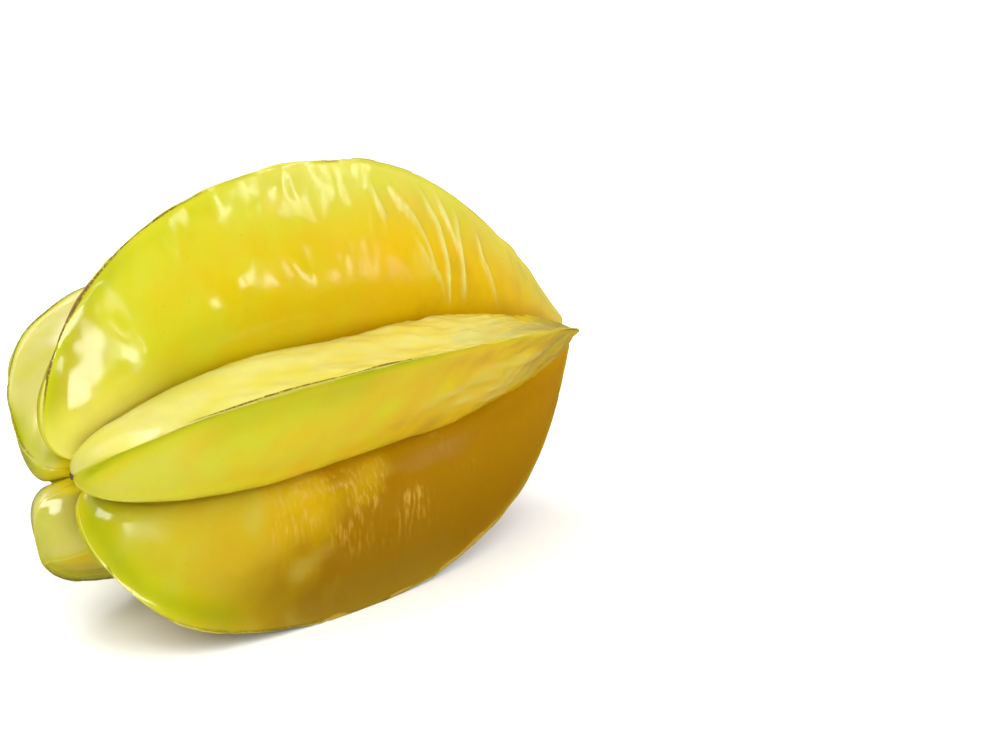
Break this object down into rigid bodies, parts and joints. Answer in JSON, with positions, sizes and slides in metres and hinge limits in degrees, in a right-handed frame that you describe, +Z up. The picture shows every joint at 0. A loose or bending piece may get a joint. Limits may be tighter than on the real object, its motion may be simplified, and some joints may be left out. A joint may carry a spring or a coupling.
{
  "type": "star fruit",
  "caption": "Whole ripe star fruit lying on its side, a yellow ribbed fruit with a star section and a dried stalk stub.",
  "frame": {"origin": "on the surface that the fruit lies on, below the centre of its box", "axes": "+X runs along the fruit from its stalk end to its blossom tip, +Z is up, and -Y is the side that shows the rib next to the top one"},
  "size_m": [0.119, 0.0772, 0.0722],
  "materials": {
    "waxy_skin": "glossy waxy fruit skin, greenish yellow on the crests and amber in the furrows",
    "dry_stalk": "matt dry brown wood"
  },
  "bodies": {
    "root": {"fruit": "waxy_skin", "stalk_stub": "dry_stalk"}
  },
  "joints": []
}
